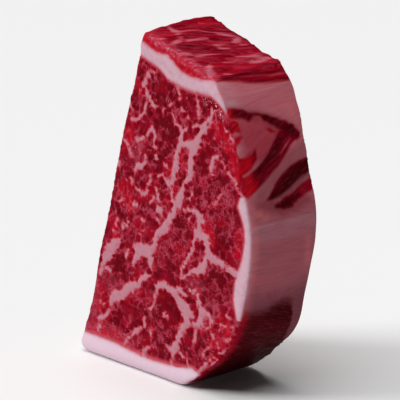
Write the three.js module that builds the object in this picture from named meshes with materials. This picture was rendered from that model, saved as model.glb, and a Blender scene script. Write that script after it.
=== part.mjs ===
// A raw ribeye steak: a thick wedge of marbled beef that stands on its rim of fat, as one closed solid.
// Millimetres, +Z up. The front cut face looks along -Y, the back cut face along +Y.
// The origin is under the middle of the steak's box, on the surface that it stands on.

import * as THREE from 'three';
import { mergeVertices } from 'three/addons/utils/BufferGeometryUtils.js';

// The steak's outline, seen from the front: two sides from the foot up, as [x, z].
// Straight lines join them at the foot and along the top.
const LEFT_SIDE = [
  [-57.5, 0], [-60.2, 3.5], [-59.8, 8], [-57, 14], [-52, 26],
  [-44.5, 55], [-36.5, 83], [-27.5, 113], [-14.5, 155],
];
const RIGHT_SIDE = [
  [10.5, 0], [20.5, 6.2], [32.5, 15], [45, 29.5], [49.6, 42], [53.5, 59], [54.8, 72],
  [53.6, 84], [48.8, 99], [46.2, 109], [39.6, 128], [31.5, 140],
];
const THICKNESS = 41;        // front cut face to back cut face
const CUT_RADIUS = 1.8;      // rounding of the cut edges
const RIM_RADIUS = 3;        // rounding of the soft fat rim at the foot
const RIM_BLEND_HEIGHT = 14; // the rim's rounding has given way to the cut edges' by here

// The top, where the cap muscle was cut, is crowned, and highest over the left.
const CROWN_LEFT = 2.4;
const CROWN_RIGHT = 2.2;
const CROWN_PEAK = 0.8;      // the crown is highest here, as a share of the thickness from the front
const CROWN_START = 0.9;     // share of the height where the crown starts

// The back cut face is pressed in above the foot, and its edge has a nick under the lean lobe.
const WAIST = { z: 50, reach: 30, depth: 3.2 };
const NICK = { x: 33, y: 20.5, z: 14.5, radius: 5, depth: 3.6 };

// Relief of the fat and lean, as heights above or below the cut.
const RIM_TOP = 8;           // height of the line where the fat rim meets the lean
const RIM_SWELL = 0.7;       // the rim stands proud of the lean
const CREASE_DEPTH = 0.9;    // the crease between fat and lean
const CREASE_WIDTH = 1.8;
const EDGE_WIDTH = 2;        // the fat steps down to the lean over this distance
const BAND_TOP = 3;          // the cap's band of fat, measured down from the top edge
const BAND_BOTTOM = 10;
const BAND_SWELL = 0.5;
const BAND_CREASE = 0.6;     // its crease, as a share of the rim's
const GRAIN_HEIGHT = 0.75;   // lumps of the cap muscle along the top edge
const GRAIN_LENGTH = 5.2;
const GRAIN_ON_TOP = 0.4;    // its height on the top, as a share of that on the cut faces
const FIBRE_HEIGHT = 0.55;   // bundles of fibres on the top, which run from front to back
const FIBRE_LENGTH = 7;
const FIBRE_WANDER = { reach: 1.2, length: 56 };
const MARBLE_HEIGHT = 0.3;   // lean lumps between the seams of marbling
const MARBLE_LENGTH = 11;
const MARBLE_START = 4;      // the lumps reach their full height this far from the outer fat
const SWELL_HEIGHT = 0.45;   // slow unevenness all over
const SWELL_LENGTH = 46;
const FLAT_FOOT = 3;         // the foot stays flat, and the relief has its full height from here up
const FACE = { from: 0.3, to: 0.9 }; // a surface takes a face's relief as it turns to face that way

// Seams that cross the right side from the front edge to the back edge, as heights there.
const SIDE_SEAMS = [
  { front: 128, back: 112, depth: 0.8, width: 2.4 },
  { front: 95, back: 112, depth: 0.7, width: 3 },
  { front: 84, back: 95, depth: 0.5, width: 3 },
  { front: 31, back: 44, depth: 0.7, width: 3.4 },
];

// The grid that is wrapped round the steak, with its lines crowded towards the edges.
const GRID = { wide: 26, deep: 12, tall: 44 };
const CROWDING = 0.62;

const { smoothstep, lerp, clamp } = THREE.MathUtils;

function curveThrough(points) {
  return new THREE.CatmullRomCurve3(points.map(([x, z]) => new THREE.Vector3(x, 0, z)));
}

const leftSide = curveThrough(LEFT_SIDE);
const rightSide = curveThrough(RIGHT_SIDE);
const nominalHeight = leftSide.getLength();
const [topLeftX, topLeftZ] = LEFT_SIDE.at(-1);
const [topRightX, topRightZ] = RIGHT_SIDE.at(-1);

// A bump of height 1 at distance 0, which fades over the width.
function bump(distance, width) {
  return Math.exp(-((distance / width) ** 2));
}

// 0 before a line and 1 past it, changing over the width of the fat's edges.
function past(distance, line) {
  return smoothstep(distance, line - EDGE_WIDTH / 2, line + EDGE_WIDTH / 2);
}

// Three crossing waves, between -1 and 1, of about the given length.
function waves(point, length) {
  const turn = (2 * Math.PI) / length;
  const across = Math.sin(turn * (point.x + 0.4 * point.z));
  const upward = Math.sin(turn * (0.8 * point.z - 0.5 * point.y) + 1.3);
  const inward = Math.sin(turn * (0.9 * point.y + 0.3 * point.x) + 2.1);
  return (across + upward + inward) / 3;
}

// Height of the straight top edge above a given x.
function topEdge(x) {
  return topLeftZ + ((topRightZ - topLeftZ) * (x - topLeftX)) / (topRightX - topLeftX);
}

// Moves an even position between -0.5 and 0.5 towards the nearer end.
function crowd(share) {
  return share + (CROWDING * Math.sin(2 * Math.PI * share)) / (2 * Math.PI);
}

// Rounds a box's edges: the point is pulled to the given radius round the box's core.
function rounded(point, halfSize, radius) {
  const core = halfSize.clone().subScalar(radius);
  const centre = point.clone().clamp(core.clone().negate(), core);
  const outward = point.clone().sub(centre).setLength(radius);
  return centre.add(outward);
}

// How far the crown lifts the top: across is 0 at the left and 1 at the right, inward 0 at the front.
function crownLift(across, inward, upward) {
  const toBack = Math.sin((Math.PI / 2) * Math.min(inward / CROWN_PEAK, 1));
  return smoothstep(upward, CROWN_START, 1) * lerp(CROWN_LEFT * toBack, CROWN_RIGHT * inward, across);
}

// Takes a point of the unit cube's surface to the steak's plain form.
function placeOnSteak(cubePoint) {
  const share = new THREE.Vector3(crowd(cubePoint.x), crowd(cubePoint.y), crowd(cubePoint.z));
  const height = share.z + 0.5;
  const width = leftSide.getPointAt(height).distanceTo(rightSide.getPointAt(height));
  const size = new THREE.Vector3(width, THICKNESS, nominalHeight);
  const radius = lerp(RIM_RADIUS, CUT_RADIUS, smoothstep(height * nominalHeight, 0, RIM_BLEND_HEIGHT));
  const point = rounded(share.multiply(size), size.clone().multiplyScalar(0.5), radius);

  const across = point.x / width + 0.5;
  const inward = point.y / THICKNESS + 0.5;
  const upward = clamp(point.z / nominalHeight + 0.5, 0, 1);
  const place = leftSide.getPointAt(upward).lerp(rightSide.getPointAt(upward), across);
  place.y = point.y;
  place.z += crownLift(across, inward, upward);
  place.y -= WAIST.depth * inward * bump(place.z - WAIST.z, WAIST.reach);
  place.y -= NICK.depth * bump(place.distanceTo(new THREE.Vector3(NICK.x, NICK.y, NICK.z)), NICK.radius);
  return place;
}

// Relief of a cut face: the proud rim and band of fat, their creases, and the lumps of lean.
function cutFaceRelief(point) {
  const aboveRim = point.z - RIM_TOP;
  const belowEdge = topEdge(point.x) - point.z;
  const rim = RIM_SWELL * (1 - past(aboveRim, 0));
  const band = BAND_SWELL * past(belowEdge, BAND_TOP + EDGE_WIDTH / 2) * (1 - past(belowEdge, BAND_BOTTOM));
  const creases = CREASE_DEPTH
    * (bump(aboveRim, CREASE_WIDTH) + BAND_CREASE * bump(belowEdge - BAND_BOTTOM, CREASE_WIDTH));
  const lean = smoothstep(aboveRim, 0, MARBLE_START)
    * smoothstep(belowEdge, BAND_BOTTOM, BAND_BOTTOM + MARBLE_START);
  const grain = GRAIN_HEIGHT * (1 - past(belowEdge, BAND_TOP)) * waves(point, GRAIN_LENGTH);
  return rim + band - creases + grain + lean * MARBLE_HEIGHT * waves(point, MARBLE_LENGTH);
}

// Relief of the top: bundles of fibres that run to the back, wandering a little.
function topRelief(point) {
  const wander = FIBRE_WANDER.reach * Math.sin((2 * Math.PI * point.y) / FIBRE_WANDER.length);
  return FIBRE_HEIGHT * Math.sin((2 * Math.PI * (point.x + wander)) / FIBRE_LENGTH)
    + GRAIN_ON_TOP * GRAIN_HEIGHT * waves(point, GRAIN_LENGTH);
}

// Relief of the right side: creases where fat and lean meet.
function rightSideRelief(point) {
  const inward = clamp(point.y / THICKNESS + 0.5, 0, 1);
  let relief = 0;
  for (const seam of SIDE_SEAMS) {
    relief -= seam.depth * bump(point.z - lerp(seam.front, seam.back, inward), seam.width);
  }
  return relief;
}

// How far the surface stands out along its normal. The foot stays flat.
function relief(point, normal) {
  const free = smoothstep(point.z, 0, FLAT_FOOT);
  return free * (SWELL_HEIGHT * waves(point, SWELL_LENGTH)
    + Math.abs(normal.y) * cutFaceRelief(point)
    + smoothstep(normal.z, FACE.from, FACE.to) * topRelief(point)
    + smoothstep(normal.x, FACE.from, FACE.to) * rightSideRelief(point));
}

function closedGrid() {
  const cube = new THREE.BoxGeometry(1, 1, 1, GRID.wide, GRID.deep, GRID.tall);
  cube.deleteAttribute('normal');
  cube.deleteAttribute('uv');
  return mergeVertices(cube);
}

function eachVertex(geometry, move) {
  const positions = geometry.getAttribute('position');
  const point = new THREE.Vector3();
  for (let i = 0; i < positions.count; i += 1) {
    const moved = move(point.fromBufferAttribute(positions, i), i);
    positions.setXYZ(i, moved.x, moved.y, moved.z);
  }
}

function steakGeometry() {
  const geometry = closedGrid();
  eachVertex(geometry, placeOnSteak);
  geometry.computeVertexNormals();
  const normals = geometry.getAttribute('normal');
  eachVertex(geometry, (point, i) => {
    const normal = new THREE.Vector3().fromBufferAttribute(normals, i);
    return point.clone().addScaledVector(normal, relief(point, normal));
  });
  geometry.computeBoundingBox();
  const centre = geometry.boundingBox.getCenter(new THREE.Vector3());
  geometry.translate(-centre.x, -centre.y, -geometry.boundingBox.min.z);
  geometry.computeVertexNormals();
  return geometry;
}

const rawBeef = new THREE.MeshStandardMaterial({ color: 0xa8343f, roughness: 0.42, metalness: 0 });
const steak = new THREE.Mesh(steakGeometry(), rawBeef);
steak.name = 'steak';

const group = new THREE.Group();
group.add(steak);

export default group;
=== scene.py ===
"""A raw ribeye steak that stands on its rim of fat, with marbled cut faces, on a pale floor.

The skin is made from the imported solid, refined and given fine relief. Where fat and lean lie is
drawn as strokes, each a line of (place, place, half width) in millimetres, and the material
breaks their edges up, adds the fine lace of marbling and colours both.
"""
import math

import bmesh
import bpy
import numpy as np
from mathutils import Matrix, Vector


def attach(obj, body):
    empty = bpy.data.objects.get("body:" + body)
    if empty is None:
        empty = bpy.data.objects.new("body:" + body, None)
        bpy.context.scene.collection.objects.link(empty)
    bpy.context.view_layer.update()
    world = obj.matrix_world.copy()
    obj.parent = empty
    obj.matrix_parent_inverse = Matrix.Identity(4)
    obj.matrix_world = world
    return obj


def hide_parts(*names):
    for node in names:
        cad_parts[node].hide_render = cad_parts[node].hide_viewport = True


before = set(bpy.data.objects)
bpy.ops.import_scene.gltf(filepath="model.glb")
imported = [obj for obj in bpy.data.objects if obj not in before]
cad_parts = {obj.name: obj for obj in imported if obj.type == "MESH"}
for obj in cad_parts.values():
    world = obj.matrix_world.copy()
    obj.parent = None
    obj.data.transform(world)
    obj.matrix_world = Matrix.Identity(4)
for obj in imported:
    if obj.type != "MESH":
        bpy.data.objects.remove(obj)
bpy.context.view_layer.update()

MM = 0.001              # places and sizes are in millimetres, save where another unit is named

# The camera, set where the photograph's outline of the steak fits the solid's
CAMERA_AZIMUTH = 48.0
CAMERA_ELEVATION = 14.0
CAMERA_LENS = 200.0
CAMERA_SENSOR = 36.0
CAMERA_DISTANCE = 978.0
CAMERA_TARGET = (2.2, 0.7, 78.8)

# Suns, as (name, azimuth, elevation, strength, softness) with angles in degrees, the sky and the floor
SUNS = [
    ("key", -35.0, 35.0, 1.8, 24.0),
    ("overhead", 0.0, 84.0, 2.2, 50.0),
    ("glint", -48.0, 10.0, 0.35, 6.0),
]
SKY_STRENGTH = 0.06
FLOOR_HALF = 12.0       # metres
FLOOR_GREY = 0.84

# The skin
VOXEL = 0.72            # size of its quads
FRONT_Y = -21.0         # plane of the front cut face
THICKNESS = 42.0
SHARPNESS = 4           # how sharply one side's look gives way to the next round an edge
FOOT_FACING = 0.75      # the foot is what faces down by more than this
FAR_OUTSIDE = -6.0      # depth inside strokes where none is near; below zero is outside
FOOT_FAT = 4.0          # depth inside the fat under the foot, which is all fat
SOFT_SLOPE = 0.45       # the lean at the right side's foot deepens this slowly, for a soft edge
STREAK_TRIM = 0.35      # the cap's streaks are narrower by this on each side than they are drawn
STREAK_LEAST = -1.5     # depth inside the fat for the cap's lean away from its streaks

# Fibres run from front to back, and patterns run long along them
FIBRE_SQUEEZE = 0.14    # places are squeezed to this share from front to back
FIBRE_RISE = 0.55       # rise for each millimetre towards the back, on the upper right side
FIBRE_FALL = 0.40       # fall for each, at the right side's foot
FIBRE_DRIFT = 0.42      # drift to the right for each, on the top
CUT_END = {"depth": 3.5, "squeeze": 0.7}  # the top's front end, where cut fibres show as grains
WANDER = {"reach": 16.0, "length": 26.0}  # how far fibres wander sideways on their way back

# Relief
LUMP = {"size": 3.6, "height": 0.36, "edge": 1.3}  # lumps of lean, which rise over that edge
LOW_SQUEEZE = 0.72      # places are squeezed from side to side to this share near the foot
SWAY = {"reach": 2.4, "length": 4.5}      # how far the lumps of lean are bent to and fro
SWELL = {"size": 6.0, "on_lean": 0.30, "on_fat": 0.12}  # slower unevenness
FAT_GRAIN = {"size": 1.8, "height": 0.06}
GROOVE = {"depth": 0.16, "width": 0.7}    # along the edges of fat
CALM_LEFT = 0.35        # the left side's relief is lower by this share

# Seeds, which keep the noises apart
SEED = {"swell": 3, "fat_grain": 4, "lumps": 5, "wander_x": 11, "wander_z": 23, "sway_x": 31, "sway_z": 37}

# How much of a look the cut faces and the left side get, and how much the right side and the top
SHARES = {
    "flecked": {"cut": 1.0, "right": 0.1, "top": 0.25},
    "streaky": {"cut": 0.0, "right": 0.45, "top": 0.9},
    "wet": {"cut": 0.12, "right": 0.03, "top": 0.10},
}
CLEAN = {"rim": 1.0, "band": 0.55, "cover": 0.58, "turned": 0.55}  # how clean outer fat is
TINGED = {"rim": 0.85, "band": 0.7}       # how much the lean beside outer fat takes its tinge
SOFT = {"right": 0.55, "right_foot": 1.30, "top": 0.8}  # how soft the edges of fat are
CAP_BRIGHT = {"left": 0.8, "right": 0.5}  # how bright the cap is towards its ends
# The second share is for the haze under the lobe, which is partly painted shadow
STAIN = {"lean": 0.9, "haze_and_shadow": 0.5}        # how far lean stains the right side's fat
PALE = {"edge": 0.42, "lines": 0.17, "band": 0.10}  # how pale that fat is in parts
WARM = 0.60             # how warm it is
LOW_VIVID = 0.55        # how vivid the low lean beside it is

# Sizes of the material's patterns
PATTERN = {
    "sway": 2.6,        # bends, which most patterns below follow
    "grit": 0.9,        # finest grain
    "lines": 0.9,       # fine lines along the fibres
    "ragged": 1.6,      # rough edges of the seams
    "red": 3.8,         # darker and brighter red
    "glow": 11.0,       # broad bright parts
    "flame": 3.2,       # brightest lean
    "feather": 1.6,     # vivid lean
    "branch": 5.0,      # where the lumps' borders are pale
    "lace": 2.3,        # finest lumps, which have a lace round them
    "lace_gap": 2.8,    # where that lace is faint
    "fleck": 1.7,
    "fleck_patch": 7.0,
    "soft_fleck": 3.0,
    "ridge": 2.0,       # grains on the ridge of the cap
    "cloud": 3.0,       # clouds in the fat
    "bead": 0.8,        # beads of juice
}
BEND_REACH = 2.0        # how far the patterns are bent
LINE_SQUEEZE = (1.0, 0.55, 1.0)           # makes the fine lines longer
FLECK_SQUEEZE = (1.25, 1.0, 0.72)         # makes the flecks narrower and taller
BITE = {"balance": 0.42, "strength": 1.7}  # lumps bite into the seams, and fat reaches in between them
RAGGED_REACH = 3.0      # how far the rough edges reach

# Seams of the front cut face, as (x, z, half width)
FRONT_SEAMS = [
    # Wedge of fat at the left edge, and what trails down from it
    [(-29.5, 58, 1.6), (-33, 54.5, 2.9), (-36, 51, 3.1), (-38.5, 48, 2.2), (-40, 45, 1.0),
     (-42, 40, 0.7)],
    [(-38.5, 43, 0.6), (-36.5, 43.3, 0.8), (-35, 42.5, 0.5)],
    # Long seam that rises from the lower left
    [(-43.5, 18.5, 0.8), (-41, 19.5, 1.0), (-38.5, 20.5, 0.7), (-37, 23, 0.5), (-36, 25.5, 0.7),
     (-34.5, 28, 1.3), (-33, 30.5, 2.3), (-31, 31.7, 2.7), (-28, 32.5, 2.4), (-25, 35, 2.1),
     (-23, 37.5, 2.4), (-20, 38.5, 2.3), (-17, 39.7, 2.0), (-14.5, 41.7, 1.8), (-12.5, 43.7, 1.4),
     (-10, 45.3, 1.2), (-7.5, 46, 0.8)],
    [(-44, 13, 0.9), (-42.7, 14.5, 1.1), (-42, 12.5, 0.7)],
    [(-41.5, 27, 1.0), (-40, 26.3, 0.8)],
    # Small seams above the rim
    [(-26, 9.5, 0.8), (-24.5, 12, 0.6), (-22.5, 14, 0.6), (-20.5, 16, 0.8), (-18, 18, 1.2),
     (-16, 19.5, 1.1), (-14.5, 20.7, 0.5)],
    [(-13, 7.5, 1.3), (-12.5, 10, 1.0), (-11, 11.5, 0.8), (-10, 13, 0.9), (-8.5, 12.5, 0.7),
     (-6.3, 11, 0.7)],
    [(-11.8, 25, 0.9), (-11.8, 22, 0.8)],
    [(-7.5, 20, 0.9), (-7.5, 18.5, 0.6)],
    [(-2.5, 41, 0.7), (-4, 38, 0.6), (-5, 35, 0.7), (-6, 32, 0.9), (-8, 31, 0.7)],
    [(2, 31, 0.9), (1.5, 29.5, 0.6), (3.2, 30, 0.8)],
    # Arch in the lower middle, its trunk down to the rim and its arms
    [(-3, 42, 1.0), (-1, 43, 1.7), (2, 43.7, 1.8), (5, 43.4, 2.0), (8, 42.5, 2.2), (10.5, 41, 2.3),
     (12, 39, 2.3), (14, 37, 3.0), (16, 35.5, 3.6), (17.5, 33.5, 3.5), (16.5, 30.5, 2.8),
     (14.5, 28, 2.0), (13, 25.5, 2.0), (11.8, 22.5, 1.8), (10.5, 20, 1.9), (9.5, 17.5, 2.1),
     (8.5, 15.5, 2.1), (8, 14, 1.2), (6.8, 12, 0.7), (6, 9.5, 0.7)],
    [(12, 44, 1.7), (14, 43, 1.0), (16.5, 42.5, 0.5)],
    [(17, 34, 3.0), (19.5, 33, 2.0), (21, 31, 1.0), (23, 30, 1.2), (24.5, 31, 1.4), (26, 33, 2.0),
     (27, 35, 2.4), (28.5, 36, 2.2), (31, 36.5, 1.4), (32, 35, 0.7)],
    [(24, 44, 1.0), (24.5, 41.5, 1.4), (25.5, 39, 1.8), (27, 36.5, 2.4)],
    [(19, 45, 0.8), (21, 45.6, 1.2), (23, 45.8, 0.8)],
    [(3, 16.5, 0.6), (5.5, 15.5, 0.8), (7.5, 15, 1.0)],
    [(12, 15, 0.7), (14, 14, 0.6), (16.5, 13.5, 0.5), (17.5, 11.5, 0.6), (18, 9.5, 0.7)],
    [(21.5, 22.5, 1.0), (22, 25, 0.7), (22.5, 28, 0.4)],
    [(22, 22.5, 0.8), (23.5, 20.5, 0.5)],
    # Thin lines of the lower right corner
    [(26, 30, 0.7), (28, 30.6, 0.3), (30, 30.5, 0.4), (32, 29.8, 0.5), (33.5, 28, 0.7), (34, 26.5, 0.5),
     (33, 24.5, 0.3), (32, 22.8, 0.3), (30, 21.5, 0.3), (28.5, 20.5, 0.2), (27.5, 19, 0.3),
     (26.8, 17, 0.3)],
    [(34, 25.2, 0.2), (36.5, 25, 0.2), (37, 23, 0.4), (37, 21, 0.5), (39, 21.3, 0.6), (41, 22.5, 0.4)],
    [(32, 34.5, 0.4), (32, 32, 0.3), (31.5, 30.5, 0.3)],
    [(33, 34.5, 0.8), (34.5, 33.5, 0.7), (35.5, 32, 0.4), (37.5, 33, 0.3), (38, 30.5, 0.3)],
    [(38, 34.2, 0.2), (41, 34, 0.3), (43.5, 34, 0.3), (46, 34.5, 0.3)],
    [(41.5, 27.5, 0.3), (43.5, 28, 0.7), (45, 29, 0.3)],
    [(42.5, 39, 0.6), (44.5, 38.5, 0.3)],
    [(24, 9.5, 0.8), (26, 11.2, 0.7), (28, 12.8, 0.7), (30, 15, 0.5), (32, 17, 0.5), (34.5, 18.5, 0.4),
     (37, 19.5, 0.3), (39, 20, 0.2)],
    [(33, 15, 0.4), (35, 16.5, 0.8), (36.5, 18, 0.5)],
    # Great seam from the upper right down to the blob of fat at the left
    [(33, 127, 0.9), (33, 124, 1.3), (31, 121.5, 1.3), (28.5, 119, 1.8), (27, 116, 2.1), (25, 113, 2.3),
     (23.5, 110, 2.5), (21.5, 107, 2.4), (20.5, 104, 2.1), (19.8, 101, 2.1), (19.5, 98, 2.1),
     (19, 95.5, 1.9), (17.5, 94, 1.1), (16, 92.5, 0.9), (14.8, 91, 1.0), (14, 89, 1.3), (13.3, 87, 1.6),
     (12, 84.5, 2.0), (11, 82, 2.4), (9.5, 80, 2.2), (8, 77.5, 1.7), (6.3, 75, 1.8), (4.5, 72.5, 2.3),
     (3, 70, 2.4), (1.5, 68.5, 2.0), (-1, 67.5, 1.7), (-3, 65.5, 1.5), (-4, 63, 1.6), (-4, 60.5, 1.0)],
    [(-4, 61, 0.8), (-6, 58, 2.0), (-8.5, 57, 3.1), (-12, 57, 3.3), (-15.5, 56.5, 2.6),
     (-17.5, 57.5, 1.2)],
    [(-7, 54, 2.0), (-6.5, 51, 1.4), (-6.5, 49, 0.6)],
    [(-16, 53.5, 2.2), (-17.5, 52, 1.4), (-18.5, 50, 1.2), (-19, 48.5, 0.6)],
    # Second seam, which leaves the great one at the top and meets it again lower down
    [(15, 115, 0.8), (14.2, 113, 1.2), (13.5, 110, 1.9), (12.3, 107.5, 1.7), (11, 105, 1.4),
     (10.3, 102, 1.6), (10.2, 99, 1.9), (9.3, 96, 2.1), (8, 93, 1.8), (6.8, 90.5, 1.2),
     (5.5, 89.5, 1.4), (4, 90.5, 1.0), (2.5, 92, 0.9), (1.5, 93.3, 0.6)],
    [(13.5, 109.5, 1.8), (16, 109.5, 1.7), (18.5, 109.5, 1.8), (21, 109.8, 2.1), (23.5, 110, 2.3)],
    [(14.2, 114, 0.7), (13.2, 116.2, 0.7), (11.5, 116.8, 0.6), (9.5, 117, 0.4)],
    [(15.5, 114.7, 0.7), (17, 116, 0.6), (19, 117.2, 0.6), (21.5, 117.8, 0.6), (24.5, 118.5, 0.8),
     (27, 118.5, 1.0)],
    [(5.8, 89, 1.0), (7, 87, 0.6), (7, 84.5, 0.5), (7.3, 82.5, 0.9), (9, 82, 1.5)],
    # Left of the second seam
    [(-3.2, 86.5, 0.7), (-2.8, 84, 0.7), (-2, 81.5, 0.8), (-1.5, 79, 1.2), (-1.3, 77, 1.4),
     (-3, 76.8, 0.8)],
    [(-0.5, 77, 1.0), (0.5, 75, 0.8), (2, 74, 1.0)],
    [(-2.5, 72.5, 0.7), (-1.5, 71.5, 1.0), (-0.5, 70.5, 0.8)],
    [(-6, 92, 0.5), (-4, 91, 0.6), (-3, 91.5, 0.5), (-1, 92.3, 0.5), (1, 93.3, 0.5)],
    [(-7, 91.5, 0.4), (-7.3, 89, 0.9), (-8, 87.5, 0.9), (-9, 86, 0.6), (-9.5, 84, 0.6),
     (-11, 82.5, 0.8), (-13, 82.5, 0.9), (-14.5, 83.5, 0.8), (-16, 84.2, 0.6), (-18, 84, 0.6),
     (-19, 85.5, 0.6), (-19.3, 87.5, 0.6), (-21, 88.3, 0.5), (-23, 87, 0.4)],
    [(-17, 92, 0.7), (-16, 94, 1.1), (-14, 94.8, 1.6), (-12, 95, 1.4), (-10.5, 96, 0.8), (-10, 99, 0.5),
     (-10, 102, 0.5)],
    [(-5, 82, 0.7), (-5.5, 80.5, 0.5), (-7, 79.5, 0.5)],
    [(-5, 114, 0.5), (-4.2, 111, 0.6), (-3.7, 108, 0.9), (-3.6, 105, 1.2), (-3.5, 102, 1.2),
     (-3, 100, 0.8)],
    [(2.5, 100, 0.5), (2.8, 98, 0.8), (3.8, 97, 0.7)],
    [(-5, 114, 0.5), (-6, 112, 0.8), (-8, 110.5, 0.7), (-10, 108.5, 0.6), (-12.5, 107, 0.8),
     (-15, 106.3, 0.8), (-17, 106.8, 0.6)],
    [(-25.5, 105, 0.7), (-23, 104, 0.8), (-21.5, 102, 0.6), (-20, 99.5, 0.8), (-19.3, 98.5, 0.7)],
    [(-29, 95, 1.1), (-28, 93, 0.9)],
    [(-18.5, 76.3, 1.0), (-17, 76.7, 1.3), (-15, 76.5, 0.8)],
    [(-28.5, 76, 0.6), (-26, 77.5, 0.6)],
    [(-12.8, 70.5, 0.8), (-11.5, 70.3, 0.6)],
    [(-21.5, 69, 0.5), (-23, 67, 0.5), (-24, 64.3, 1.3), (-25.5, 65, 1.5)],
    [(-30.3, 67, 1.0), (-31.5, 65, 0.6), (-31.5, 63, 0.5), (-33, 61.5, 0.5)],
    [(-12.3, 65.5, 0.7), (-14, 64, 0.5)],
    [(-24, 51.5, 1.0), (-22.8, 54, 0.6), (-22, 56, 0.5)],
    # Upper left
    [(-2, 139, 0.5), (-4, 138, 0.7), (-6, 137, 1.0), (-8, 135.5, 1.4), (-10, 133, 1.3),
     (-11.5, 130.5, 1.1), (-13, 128.5, 0.8)],
    [(-9.5, 130, 0.7), (-9, 127.5, 0.8), (-7, 126, 0.8), (-6, 124, 1.1), (-4.5, 122.8, 1.2),
     (-2, 124, 0.6)],
    [(-9, 126, 0.5), (-10, 122, 0.6), (-11, 119, 0.6), (-13, 117, 0.5), (-15.5, 115.5, 0.6),
     (-19, 114.8, 0.5)],
    [(-20.5, 121, 0.6), (-19, 119, 0.5)],
    # Under the band of fat
    [(11, 133.5, 0.6), (12, 131, 0.8), (12.5, 128.5, 0.8), (12.2, 127, 0.4)],
    [(23.3, 132.5, 0.9), (24, 128.5, 0.8), (24.5, 125.5, 0.7), (24.8, 122.5, 0.4)],
    [(14, 124, 0.6), (15.5, 123.3, 0.4)],
    [(6.3, 125, 0.8), (6.8, 125, 0.6)],
    [(17, 121.5, 0.7), (19, 121.3, 0.5)],
    [(1.5, 121, 0.6), (2.5, 123, 0.4)],
    [(8, 120.5, 0.7), (9.5, 118.5, 0.5)],
    # Right of the great seam
    [(20, 81.3, 0.8), (22, 81, 1.1), (24, 80.5, 1.5), (26, 79.5, 1.8), (27, 78, 1.5), (28, 77, 0.9)],
    [(14.5, 79.7, 1.0), (17, 80.7, 0.6), (20, 81.3, 0.8)],
    [(25.5, 78, 1.3), (25, 74.5, 1.6), (24, 72, 2.4), (24, 70.5, 2.0), (27, 71, 2.1), (29.5, 70, 2.3),
     (30.5, 67.5, 2.1), (31, 65, 2.3), (32, 63, 2.1), (34.5, 62, 1.8), (38, 61.5, 1.6),
     (41.5, 60.7, 1.5), (44.5, 59.8, 1.5), (47.5, 58.5, 1.7), (50.5, 58, 2.3)],
    [(31, 64, 1.7), (29.5, 61.5, 1.4), (28.5, 59, 1.6), (27, 57, 2.2), (25.5, 55.5, 2.8),
     (23.5, 55, 2.3), (21.5, 54, 1.5), (19.5, 53, 1.0), (17.5, 51.5, 0.7), (15, 50, 0.6),
     (13, 49.5, 0.5)],
    [(22.5, 70, 0.9), (21.5, 67.5, 0.9), (20.8, 65, 0.9), (19.5, 62, 1.0), (18, 60, 0.9),
     (16.5, 57.5, 0.9), (14.8, 55, 1.0), (13.2, 53, 1.0), (12.8, 50, 0.8)],
    [(18.7, 77.5, 0.7), (18, 75, 0.4)],
    [(34, 106, 1.0), (36, 107, 0.8), (38.5, 106, 0.6), (40, 104, 0.4), (42, 102, 0.5), (44, 101, 0.6),
     (46, 99.5, 0.5), (47.5, 98, 0.8), (48.5, 96, 0.6), (50.5, 94, 0.6), (52, 92.5, 0.9)],
    [(34, 106, 0.9), (33, 103, 1.1), (32.5, 101.5, 1.0), (33.5, 99.5, 0.5)],
    [(40.5, 120, 0.4), (42, 118.5, 0.6), (44, 117, 0.5), (46, 115.5, 0.6), (47.5, 116.5, 0.5)],
    [(31.5, 85.5, 0.4), (33, 86.5, 0.4), (35, 86.5, 0.4), (36.5, 88, 0.4), (37.5, 90, 0.4),
     (39, 91.5, 0.4)],
    [(17, 85, 0.6), (19, 86, 0.5), (20.5, 87, 0.4), (21, 89, 0.4), (22, 89.5, 0.5), (24, 88.5, 0.4)],
]

# Edges of the outer fat on the cut faces, as (x, z), and of the cover of fat at the right, as (z, x)
RIM_TOP = [(-60, 9.6), (-33, 9.3), (-22, 8.0), (-8, 7.2), (5, 7.8), (15, 9.0), (20, 10.2), (24, 8.5),
           (28, 4.0), (40, -20.0)]
BAND_TOP = [(-14, 151.0), (-10, 150.0), (-4, 147.7), (0, 146.8), (5, 146.6), (8, 144.8), (11, 142.5),
            (14, 140.8), (18, 139.6), (27, 138.8), (31, 139.4), (38, 140.5)]
BAND_BOTTOM = [(-14, 144.0), (-10, 142.8), (-2, 140.2), (2, 138.0), (5, 135.6), (12, 134.0),
               (22, 132.5), (32, 132.5), (36, 130.5), (42, 126.0), (46, 122.0)]
COVER_INSIDE = [(36, 60.0), (38.5, 48.8), (44, 47.3), (47, 46.6), (53, 47.3), (58, 48.4), (62, 50.2),
                (65, 51.3), (70, 52.6), (75, 53.1), (79, 52.8), (82, 51.9), (85, 50.4), (88, 48.7),
                (92, 50.2), (95, 60.0)]

# Parts of the front cut face where the lean is deep and plain, bright, finely laced, or pale with
# soft flecks
DARK_PARTS = [
    [(1, 133, 3.5), (10, 128, 4.0), (16, 131, 3.0)], [(3, 121, 4.5), (7, 111, 4.5)],
    [(-5, 101, 4.0), (-1, 95, 2.5)],
    [(-10, 84, 3.0), (-6, 88, 2.0)], [(5, 86, 2.2), (5, 80, 2.0)], [(27, 110, 2.5), (27, 101, 3.5)],
    [(10, 76, 3.5), (16, 72, 4.0)], [(38, 77, 4.5), (36, 68, 2.5)], [(35, 56, 3.5), (43, 54, 3.0)],
    [(0, 38, 4.0), (8, 33, 5.0), (0, 26, 5.0)], [(-22, 27, 3.5), (-16, 22, 3.5)],
    [(27, 25, 3.0), (31, 20, 2.0)],
    [(-28, 48, 3.5), (-22, 43, 2.5)], [(24, 33, 1.0), (22, 26, 2.0)], [(-2, 16, 3.0), (4, 12, 1.5)],
]
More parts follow.
